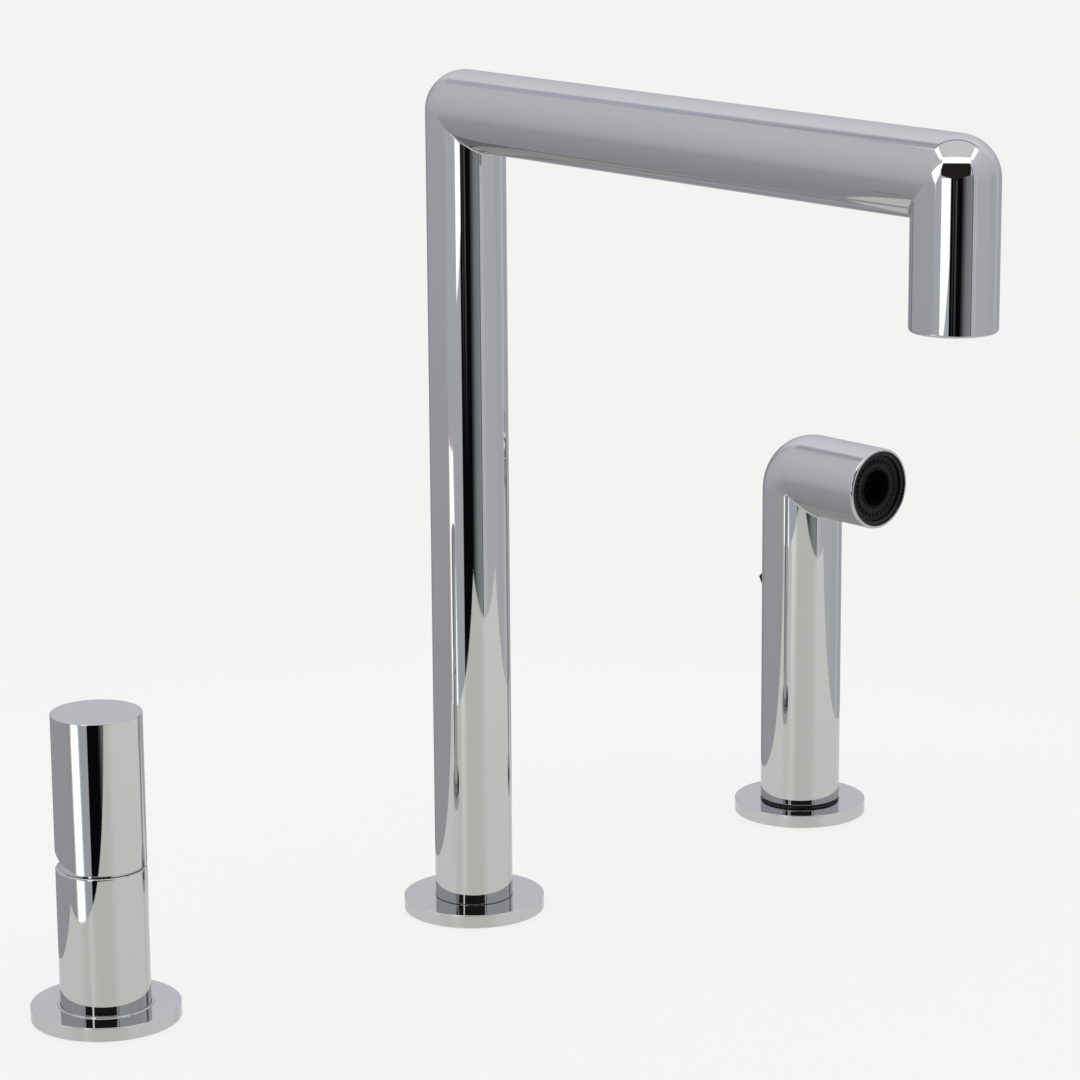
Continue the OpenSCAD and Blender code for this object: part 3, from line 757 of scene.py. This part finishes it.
def jet_ring():
    """The soft ring: one wedge for each jet, from the ring's rims to the hole in its nub."""
    count, r_in, r_out, r_jet = 30, 8.86, 14.39, 11.6
    verts, normals, faces = [], [], []

    def put(x, z, y, nx, nz, ny):
        k = math.sqrt(nx * nx + nz * nz + ny * ny)
        verts.append((x, -y, HEAD_Z + z))
        normals.append((nx / k, -ny / k, nz / k))
        return len(verts) - 1

    half = math.pi / count
    per = 24
    fine = [math.pi * 2 * i / per for i in range(per)]
    for j in range(count):
        a0 = TAU * j / count
        ca, sa = math.cos(a0), math.sin(a0)

        def at(u, v):
            """u along the radius, v across it, from the jet's centre"""
            return (r_jet + u) * ca - v * sa, (r_jet + u) * sa + v * ca

        def turn(nu, nv):
            return nu * ca - nv * sa, nu * sa + nv * ca

        def rim(w):
            """Where the wedge's edge lies in the direction w"""
            cu, cv = math.cos(w), math.sin(w)
            best = 1e9
            for s in (1, -1):
                # side: v = s * tan(half) * (r_jet + u)
                d = cv - s * math.tan(half) * cu
                if abs(d) > 1e-9:
                    t = s * math.tan(half) * r_jet / d
                    if t > 1e-6:
                        best = min(best, t)
            for rr, outer in ((r_out - 0.16, True), (r_in + 0.16, False)):
                b, c = r_jet * cu, r_jet * r_jet - rr * rr
                disc = b * b - c
                if disc >= 0:
                    for t in (-b - math.sqrt(disc), -b + math.sqrt(disc)):
                        if t > 1e-6:
                            best = min(best, t)
            return best * cu, best * cv

        corners = []
        for rr in (r_in + 0.16, r_out - 0.16):
            for s in (1, -1):
                corners.append(math.atan2(s * rr * math.sin(half), rr * math.cos(half) - r_jet))
        ws = sorted(set(round(w % TAU, 6) for w in fine + corners))
        ws = [w for i, w in enumerate(ws) if w in [round(c % TAU, 6) for c in corners]
              or all(abs((w - round(c % TAU, 6) + math.pi) % TAU - math.pi) > 0.09 for c in corners)]
        loops = []
        # flat face, then the root of the nub, its side, its rounded end and its hole
        loops.append([(put(*at(*rim(w)), 43.8, 0, 0, 1)) for w in ws])
        loops.append([(put(*at(1.30 * math.cos(w), 1.30 * math.sin(w)), 43.8, 0, 0, 1)) for w in ws])
        for r, y, nr, ny in ((1.12, 43.85, 0.5, 0.87), (0.97, 44.02, 0.95, 0.3), (0.86, 44.42, 0.98, 0.15), (0.78, 44.60, 0.8, 0.6),
                             (0.64, 44.68, 0.25, 0.97), (0.50, 44.68, -0.2, 0.98), (0.38, 44.60, -0.8, 0.6), (0.35, 44.4, -1, 0.0),
                             (0.35, 41.0, -1, 0.0)):
            loops.append([put(*at(r * math.cos(w), r * math.sin(w)), y, *turn(nr * math.cos(w), nr * math.sin(w)), ny) for w in ws])
        floor = put(*at(0, 0), 41.0, 0, 0, 1)
        for a, b in zip(loops, loops[1:]):
            for i in range(len(ws)):
                k = (i + 1) % len(ws)
                faces.append((a[i], b[i], b[k], a[k]))
        for i in range(len(ws)):
            k = (i + 1) % len(ws)
            faces.append((loops[-1][i], floor, loops[-1][k]))
    # rims and back, as one lathe-like band
    n = count * 8
    rows = [(r_out - 0.16, 43.8, 0, 1), (r_out - 0.05, 43.76, 0.7, 0.7), (r_out, 43.64, 1, 0), (r_out, 40.02, 1, 0), (r_out - 0.02, 40.0, 0, -1),
            (r_in + 0.02, 40.0, 0, -1), (r_in, 40.02, -1, 0), (r_in, 43.64, -1, 0), (r_in + 0.05, 43.76, -0.7, 0.7), (r_in + 0.16, 43.8, 0, 1)]
    ids = []
    for r, y, nr, ny in rows:
        ids.append([put(r * math.cos(TAU * i / n), r * math.sin(TAU * i / n), y, nr * math.cos(TAU * i / n), nr * math.sin(TAU * i / n), ny)
                    for i in range(n)])
    for a, b in zip(ids, ids[1:]):
        for i in range(n):
            k = (i + 1) % n
            faces.append((a[i], a[k], b[k], b[i]))
    # every face looks the way its vertices' normals point
    v, nn = np.array(verts), np.array(normals)
    good = []
    for f in faces:
        g = np.cross(v[f[2 % len(f)]] - v[f[0]], v[f[-1]] - v[f[1]])
        good.append(f if float(g @ nn[list(f)].sum(0)) > 0 else tuple(f[::-1]))
    return mesh_object("jet_ring", verts, good, normals, (SPRAYER_X, 0, 0))


finish(jet_ring(), "hand_spray", "nozzle_ring", SILICONE)

# ------------------------------------------------------------------ push button


def button():
    """A flange plate inside the shell, the block that fills the slot and the ridge across it."""
    zb = 104.3
    # the block's outside, as its height over the slot: rounded to the shell, with a ridge
    nz, nx = 58, 48
    zs = np.linspace(-4.98, 4.98, nz)
    zs = np.sign(zs) * 4.98 * (1 - (1 - np.abs(zs) / 4.98) ** 1.3)
    xs = np.sin(np.linspace(-math.pi / 2, math.pi / 2, nx)) * 7.78
    pz = np.array([-5.0, -3.1, -2.95, -2.3, 0.9, 2.9, 3.2, 3.35, 5.0])
    py = np.array([11.0, 11.0, 14.2, 17.2, 19.05, 17.0, 14.2, 11.0, 11.0])

    def ridge(z):
        """The straight ridge's outside at height z, with its edges softened"""
        d = np.linspace(-0.32, 0.32, 9)
        w = np.cos(d / 0.32 * math.pi) + 1.001
        return float(sum(np.interp(z + t, pz, py) * a for t, a in zip(d, w)) / w.sum())

    c = 0.45
    verts, normals = [], []
    P = np.zeros((nz, nx, 3))
    for i, z in enumerate(zs):
        for j, x in enumerate(xs):
            y = float(soft_max(math.sqrt(17.36 ** 2 - x * x), ridge(z), 0.25))
            # rounded edge all round
            ex, ez = 7.78 - abs(x), 4.98 - abs(z)
            fall = 0.0
            for q in (ex, ez):
                if q < c:
                    fall += c - math.sqrt(max(c * c - (c - q) ** 2, 0))
            P[i, j] = (x, y - min(fall, 1.3), z)
    gz = np.gradient(P, axis=0)
    gx = np.gradient(P, axis=1)
    N = np.cross(gz, gx)
    N /= np.linalg.norm(N, axis=2, keepdims=True)
    verts = P.reshape(-1, 3).tolist()
    normals = N.reshape(-1, 3).tolist()
    faces = [(i * nx + j, (i + 1) * nx + j, (i + 1) * nx + j + 1, i * nx + j + 1) for i in range(nz - 1) for j in range(nx - 1)]
    # sides down to the flange plate, then the plate
    edge = [(0, j) for j in range(nx)] + [(i, nx - 1) for i in range(1, nz)] + [(nz - 1, j) for j in range(nx - 2, -1, -1)] + [(i, 0) for i in range(nz - 2, 0, -1)]

    def side(i, j):
        z, x = zs[i], xs[j]
        if i in (0, nz - 1) and j in (0, nx - 1):
            k = math.sqrt(0.5)
            return (math.copysign(k, x), 0.0, math.copysign(k, z))
        return (0.0, 0.0, math.copysign(1.0, z)) if i in (0, nz - 1) else (math.copysign(1.0, x), 0.0, 0.0)

    def loop(y, grow_x, grow_z, normal=None):
        out = []
        for i, j in edge:
            p = P[i, j]
            verts.append([p[0] * (1 + grow_x / 7.78), p[1] if y is None else y, p[2] * (1 + grow_z / 4.98)])
            normals.append(list(side(i, j) if normal is None else normal))
            out.append(len(verts) - 1)
        return out

    loops = [loop(None, 0, 0), loop(12.02, 0, 0), loop(12.0, 0.02, 0.02, (0, 1, 0)), loop(12.0, 1.28, 1.08, (0, 1, 0)), loop(11.98, 1.3, 1.1),
             loop(10.62, 1.3, 1.1), loop(10.6, 1.28, 1.08, (0, -1, 0))]
    m = len(edge)
    for a, b in zip(loops, loops[1:]):
        for i in range(m):
            k = (i + 1) % m
            faces.append((a[i], a[k], b[k], b[i]))
    verts.append([0, 10.6, 0])
    normals.append([0, -1, 0])
    mid = len(verts) - 1
    for i in range(m):
        faces.append((loops[-1][i], loops[-1][(i + 1) % m], mid))
    v, nn = np.array(verts), np.array(normals)
    good = []
    for f in faces:
        g = np.cross(v[f[2]] - v[f[0]], v[f[-1]] - v[f[1]])
        good.append(f if float(g @ nn[list(f)].sum(0)) > 0 else tuple(f[::-1]))
    return mesh_object("push_button", verts, good, normals, (SPRAYER_X, 0, zb))


finish(button(), "spray_push", "spray_button", BLACK)

# ------------------------------------------------------------------ stage
PALE = (0.8963, 0.8963, 0.8879)


def emit_material(name, colour, strength=1.0):
    m = bpy.data.materials.new(name)
    m.use_nodes = True
    nt = m.node_tree
    nt.nodes.clear()
    out = node(nt, "ShaderNodeOutputMaterial")
    e = node(nt, "ShaderNodeEmission", inputs={"Color": (*colour, 1), "Strength": strength})
    nt.links.new(e.outputs[0], out.inputs["Surface"])
    return m, nt, e, out


def flat_object(name, pts, mat, reflect_only=True, faces=None):
    me = bpy.data.meshes.new(name)
    me.from_pydata([tuple(v * MM for v in p) for p in pts], [], faces or [tuple(range(len(pts)))])
    me.update()
    me.materials.append(mat)
    o = bpy.data.objects.new(name, me)
    bpy.context.scene.collection.objects.link(o)
    o.visible_shadow = False
    if reflect_only:
        o.visible_camera = False
        o.visible_diffuse = False
        o.visible_transmission = False
        o.visible_volume_scatter = False
    return o


# worktop that the camera sees: pale and even, with a faint contact shadow near the bases
m_floor, nt, em, out = emit_material("worktop", PALE)
dif = node(nt, "ShaderNodeBsdfDiffuse", inputs={"Color": (0.80, 0.80, 0.79, 1)})
dif_em = node(nt, "ShaderNodeEmission", inputs={"Color": (*PALE, 1), "Strength": 0.86})
add = node(nt, "ShaderNodeAddShader")
mix = node(nt, "ShaderNodeMixShader")
scale_d = node(nt, "ShaderNodeMixShader", inputs={"Fac": 0.20})
hold = node(nt, "ShaderNodeEmission", inputs={"Color": (0, 0, 0, 1), "Strength": 0.0})
nt.links.new(hold.outputs[0], scale_d.inputs[1])
nt.links.new(dif.outputs[0], scale_d.inputs[2])
nt.links.new(scale_d.outputs[0], add.inputs[0])
nt.links.new(dif_em.outputs[0], add.inputs[1])
tc = node(nt, "ShaderNodeTexCoord")
ln = node(nt, "ShaderNodeVectorMath", operation="LENGTH")
nt.links.new(tc.outputs["Object"], ln.inputs[0])
fade = node(nt, "ShaderNodeMapRange", interpolation_type="SMOOTHSTEP")
for k, v in (("From Min", 0.25), ("From Max", 0.60), ("To Min", 0.0), ("To Max", 1.0)):
    fade.inputs[k].default_value = v
nt.links.new(ln.outputs["Value"], fade.inputs["Value"])
nt.links.new(fade.outputs["Result"], mix.inputs["Fac"])
nt.links.new(add.outputs[0], mix.inputs[1])
nt.links.new(em.outputs[0], mix.inputs[2])
nt.links.new(mix.outputs[0], out.inputs["Surface"])
S = 14000
# the worktop, with the round hole that each station's shank goes through
wpts, wfaces = [], []
for x0, x1, cx in ((-S, -95.0, CONTROL_X), (-95.0, 97.0, 0.0), (97.0, S, SPRAYER_X)):
    turn = {2 * math.pi * k / 96 for k in range(96)}
    turn |= {math.atan2(y, x - cx) % (2 * math.pi) for x in (x0, x1) for y in (-S, S)}
    base, turn = len(wpts), sorted(turn)
    for a in turn:
        c, d = math.cos(a), math.sin(a)
        reach = min((x1 - cx) / c if c > 1e-9 else 1e9, (x0 - cx) / c if c < -1e-9 else 1e9, S / max(abs(d), 1e-9))
        wpts += [(cx + 17.4 * c, 17.4 * d, -0.3), (cx + reach * c, reach * d, -0.3)]
    for k in range(len(turn)):
        i, j = base + 2 * k, base + 2 * ((k + 1) % len(turn))
        wfaces.append((i, i + 1, j + 1, j))
floor = flat_object("worktop", wpts, m_floor, False, wfaces)
floor.visible_glossy = False
floor.visible_diffuse = False

# the table that the chrome sees, a little glossy itself
m_table, nt, em, out = emit_material("table_card", (0.76, 0.752, 0.72), 1.0)
gl = node(nt, "ShaderNodeBsdfGlossy", inputs={"Color": (1, 1, 1, 1), "Roughness": 0.30})
fr = node(nt, "ShaderNodeFresnel", inputs={"IOR": 1.45})
blk = node(nt, "ShaderNodeEmission", inputs={"Color": (0, 0, 0, 1), "Strength": 0.0})
mx = node(nt, "ShaderNodeMixShader")
nt.links.new(fr.outputs[0], mx.inputs["Fac"])
nt.links.new(blk.outputs[0], mx.inputs[1])
nt.links.new(gl.outputs[0], mx.inputs[2])
ad = node(nt, "ShaderNodeAddShader")
nt.links.new(em.outputs[0], ad.inputs[0])
nt.links.new(mx.outputs[0], ad.inputs[1])
nt.links.new(ad.outputs[0], out.inputs["Surface"])
flat_object("table_card", [(-330, -500, -0.1), (350, -500, -0.1), (350, 78, -0.1), (-330, 78, -0.1)], m_table)

# two tall white reflectors left of the camera
m_white1, nt, em, out = emit_material("white_card_a", (1.0, 1.0, 1.0), 1.9)
a_left = [(130, -450), (175, -325), (215, -270), (245, -215), (250, -80)]
a_right = [(-10, -80), (-38, -111), (-140, -216), (-200, -317), (-230, -450)]
flat_object("white_card_a", [(-1277, y, z) for y, z in a_left + a_right], m_white1)


def hem(name, edge, shift, mat):
    """A strip of coloured gel along one upright edge of the first reflector."""
    pts = [(-1277, y, z) for y, z in edge] + [(-1277, y + shift, z) for y, z in reversed(edge)]
    return flat_object(name, pts, mat)


m_warm, nt, em, out = emit_material("gel_warm", (1.0, 0.72, 0.59), 1.15)
hem("gel_warm", a_left, 52, m_warm)
m_cool, nt, em, out = emit_material("gel_cool", (0.68, 0.83, 1.0), 1.0)
hem("gel_cool", a_right, -58, m_cool)
m_white2, nt, em, out = emit_material("white_card_b", (1.0, 1.0, 1.0), 1.9)
flat_object("white_card_b", [(-1300, -397, 15), (-4000, -2450, -465), (-4000, -2450, 940), (-1300, -397, 515)], m_white2)

# a small reflector left of the outlet
m_white3, nt, em, out = emit_material("white_card_c", (1.0, 1.0, 1.0), 1.9)
flat_object("white_card_c", [(-544, -6, 493), (-591, -156, 237), (-600, -255, 504), (-600, -239, 975)], m_white3)

# ------------------------------------------------------------------ studio walls round the set
world = bpy.data.worlds.new("studio")
bpy.context.scene.world = world
world.use_nodes = True
wt = world.node_tree
wt.nodes.clear()


def W(op, a, b=0.0, clamp=False):
    x = node(wt, "ShaderNodeMath", operation=op, use_clamp=clamp)
    for i, v in enumerate((a, b)):
        if isinstance(v, (int, float)):
            x.inputs[i].default_value = v
        else:
            wt.links.new(v, x.inputs[i])
    return x.outputs[0]


wtc = node(wt, "ShaderNodeTexCoord")
sep = node(wt, "ShaderNodeSeparateXYZ")
wt.links.new(wtc.outputs["Generated"], sep.inputs[0])
AZ = W("MULTIPLY", W("ARCTAN2", sep.outputs["Y"], sep.outputs["X"]), 180 / math.pi)
AZ360 = W("MODULO", W("ADD", AZ, 360.0), 360.0)
EL = W("MULTIPLY", W("ARCSINE", sep.outputs["Z"]), 180 / math.pi)


def rise(value, at, soft):
    x = node(wt, "ShaderNodeMapRange", interpolation_type="SMOOTHSTEP")
    x.inputs["From Min"].default_value = at - soft
    x.inputs["From Max"].default_value = at + soft
    wt.links.new(value, x.inputs["Value"])
    return x.outputs["Result"]


def span(value, a, b, sa, sb):
    """1 between a and b, 0 outside, with soft edges. None leaves that side open."""
    if a is None and b is None:
        return None
    if a is None:
        return W("SUBTRACT", 1.0, rise(value, b, sb))
    if b is None:
        return rise(value, a, sa)
    return W("MULTIPLY", rise(value, a, sa), W("SUBTRACT", 1.0, rise(value, b, sb)))


def levels(value, stops, lo, hi):
    """Brightness along an angle, as a soft ramp between a few given levels."""
    x = node(wt, "ShaderNodeValToRGB")
    cr = x.color_ramp
    while len(cr.elements) < len(stops):
        cr.elements.new(0.5)
    for e, (p, v) in zip(cr.elements, stops):
        e.position = (p - lo) / (hi - lo)
    for e, (p, v) in zip(cr.elements, stops):
        e.color = (v, v, v, 1)
    mr = node(wt, "ShaderNodeMapRange")
    mr.inputs["From Min"].default_value = lo
    mr.inputs["From Max"].default_value = hi
    wt.links.new(value, mr.inputs["Value"])
    wt.links.new(mr.outputs["Result"], x.inputs["Fac"])
    return x.outputs["Color"]


def tinted(level, tint):
    x = node(wt, "ShaderNodeMix", data_type="RGBA", blend_type="MULTIPLY")
    x.inputs[0].default_value = 1.0
    x.inputs[7].default_value = (*tint, 1)
    if isinstance(level, (int, float)):
        x.inputs[6].default_value = (level, level, level, 1)
    else:
        wt.links.new(level, x.inputs[6])
    return x.outputs[2]


def over(below, colour, *masks):
    masks = [m for m in masks if m is not None]
    f = masks[0]
    for m in masks[1:]:
        f = W("MULTIPLY", f, m)
    x = node(wt, "ShaderNodeMix", data_type="RGBA")
    wt.links.new(f, x.inputs[0])
    wt.links.new(below, x.inputs[6])
    if isinstance(colour, tuple):
        x.inputs[7].default_value = (*colour, 1)
    else:
        wt.links.new(colour, x.inputs[7])
    return x.outputs[2]


BLUISH = (0.985, 0.98, 1.04)
COOL = (0.985, 0.98, 1.045)
WARM = (1.03, 0.95, 0.86)
# back wall, all round to start with, a little dimmer towards its left corner
sky = tinted(levels(EL, [(-45, .42), (-30, .52), (-12, .60), (0, .66), (7, .73), (14, .875), (19, .87), (24, .92), (30, .98), (42, 1.03)], -90, 90), BLUISH)
dim = node(wt, "ShaderNodeMix", data_type="RGBA", blend_type="MULTIPLY")
dim.inputs[0].default_value = 1.0
wt.links.new(sky, dim.inputs[6])
wt.links.new(levels(AZ360, [(42, 1.0), (50, .90), (58, .78), (66, .68), (77, .62), (84, 1.0)], 30, 100), dim.inputs[7])
sky = over(sky, dim.outputs[2], span(AZ360, 42, 84, 0.5, 0.5), span(EL, None, 10, 1, 8))
sky = over(sky, (.50, .505, .515), span(AZ360, 52, 74, 4, 4), span(EL, None, -36, 3, 4))
# left wall
sky = over(sky, tinted(levels(EL, [(-45, .41), (-30, .46), (-17, .495), (-13, .53), (-9, .585), (0, .67), (9, .70), (21, .755), (36, .79)], -90, 90), COOL),
           span(AZ360, 81, 167, 4, 5))
sky = over(sky, (.62, .62, .72), span(AZ360, 80, 108, 3, 2), span(EL, 46.5, 50, 1.5, 1.5))
sky = over(sky, (.64, .645, .75), span(AZ360, 82.5, 97, 1.5, 3), span(EL, 40.5, 47, 1.2, 1.5))
# right wall with its folds
sky = over(sky, tinted(levels(EL, [(-25, .64), (-8, .68), (10, .74), (28, .80), (44, .90)], -90, 90), COOL),
           span(AZ360, 262, 345, 3, 8))
sky = over(sky, (.76, .77, .80), span(AZ360, 272, 277, 1.5, 2.5), span(EL, None, 30, 1, 8))
sky = over(sky, (.615, .62, .65), span(AZ360, 318, 338, 7, 6), span(EL, None, 6, 1, 6))
sky = over(sky, (.75, .76, .80), span(AZ360, 346, 358, 4, 6), span(EL, None, 12, 1, 8))
# seam between back and left walls
sky = over(sky, (.46, .47, .51), span(AZ360, 76.5, 80.5, 1.2, 1.4), span(EL, None, 28, 1, 8))
# front left, between the two white reflectors
sky = over(sky, tinted(levels(EL, [(-45, .42), (-30, .47), (-17, .56), (-10, .655), (5, .69)], -90, 90), (0.95, 0.98, 1.04)),
           span(AZ360, 167, 207, 5.0, 0.8))
sky = over(sky, (.44, .44, .45), span(AZ360, 158.2, 160.4, 0.8, 0.8), span(EL, -30, -14, 2, 1.5))
# the dark room behind the camera
sky = over(sky, (.004, .004, .005), span(AZ360, 209.5, 240, 0.5, 0.8), span(EL, -55, 12, 3, 3))
lean_l = W("ADD", AZ360, W("MULTIPLY", W("SUBTRACT", EL, 12.0), 0.4))
lean_r = W("SUBTRACT", AZ360, W("MULTIPLY", W("SUBTRACT", EL, 16.0), 0.3))
vee = W("SUBTRACT", EL, W("MULTIPLY", W("ABSOLUTE", W("SUBTRACT", AZ360, 220.0)), 0.2))
sky = over(sky, (.026, .022, .020), rise(lean_l, 184.0, 0.7), W("SUBTRACT", 1.0, rise(lean_r, 260.0, 0.8)),
           rise(vee, 5.8, 0.7), span(EL, None, 47, 1, 1.0))
sky = over(sky, (.055, .062, .066), span(AZ360, 215.5, 218.0, 0.6, 0.8), span(EL, -11, 4, 2, 2))
sky = over(sky, (.095, .098, .100), span(AZ360, 221.5, 225.5, 0.8, 1.2), span(EL, -11, 4, 2, 2))
# front right: dim flats beside the opening
sky = over(sky, tinted(levels(AZ360, [(238, .02), (242, .075), (246, .17), (250, .27), (258, .335), (266, .36)], 230, 280), (0.95, 1.0, 1.04)),
           span(AZ360, 238, 268, 0.8, 1.2), span(EL, -40, None, 3, 3), W("SUBTRACT", 1.0, rise(vee, 5.8, 1.0)))
sky = over(sky, (.16, .16, .17), span(AZ360, 265, 267, 0.5, 0.5), span(EL, -30, 40, 3, 3))
sky = over(sky, (.80, .80, .83), span(AZ360, 267.4, 269.4, 0.5, 0.6), span(EL, -30, 40, 3, 3))
# ceiling: a straight-edged panel, lit rims on three sides and a dark joint at the back
ZI = W("MAXIMUM", sep.outputs["Z"], 0.05)
ca, sa = math.cos(math.radians(222)), math.sin(math.radians(222))
U = W("DIVIDE", W("ADD", W("MULTIPLY", sep.outputs["X"], ca), W("MULTIPLY", sep.outputs["Y"], sa)), ZI)
V = W("DIVIDE", W("SUBTRACT", W("MULTIPLY", sep.outputs["Y"], ca), W("MULTIPLY", sep.outputs["X"], sa)), ZI)
VV = W("MULTIPLY", V, V)
VA = W("ABSOLUTE", V)
UP = span(EL, 24, None, 1, 1)
front_in = W("ADD", U, W("MULTIPLY", VV, 0.33))
front_out = W("ADD", U, W("MULTIPLY", VV, 0.27))
side = W("SUBTRACT", VA, W("MULTIPLY", W("MAXIMUM", W("SUBTRACT", U, 0.36), 0.0), 0.52))
sky = over(sky, (.54, .545, .63), span(U, -0.66, -0.565, 0.03, 0.012), span(VA, None, 0.80, 0.01, 0.02), UP)
sky = over(sky, (.05, .05, .055), span(U, -0.632, -0.572, 0.012, 0.010), span(V, -0.62, 0.63, 0.02, 0.03), UP)
sky = over(sky, tinted(levels(V, [(-.7, .90), (-.2, .97), (.3, .95), (.7, .90)], -1, 1), (1.02, 1.0, 1.025)), span(U, -0.57, None, 0.012, 0.01),
           W("SUBTRACT", 1.0, rise(front_in, 0.62, 0.012)), span(VA, None, 0.64, 0.01, 0.012), UP)
sky = over(sky, (1.9, 1.9, 1.9), span(VA, 0.62, 0.82, 0.014, 0.014), span(U, -0.46, 0.46, 0.03, 0.03), UP)
sky = over(sky, (1.9, 1.9, 1.9), rise(front_in, 0.50, 0.02), W("SUBTRACT", 1.0, rise(front_out, 0.94, 0.02)),
           W("SUBTRACT", 1.0, rise(side, 0.645, 0.015)), UP)

lp = node(wt, "ShaderNodeLightPath")
bg1 = node(wt, "ShaderNodeBackground")
bg2 = node(wt, "ShaderNodeBackground", inputs={"Color": (*PALE, 1), "Strength": 1.0})
wt.links.new(sky, bg1.inputs["Color"])
wm = node(wt, "ShaderNodeMixShader")
wt.links.new(lp.outputs["Is Camera Ray"], wm.inputs["Fac"])
wt.links.new(bg1.outputs[0], wm.inputs[1])
wt.links.new(bg2.outputs[0], wm.inputs[2])
wo = node(wt, "ShaderNodeOutputWorld")
wt.links.new(wm.outputs[0], wo.inputs["Surface"])
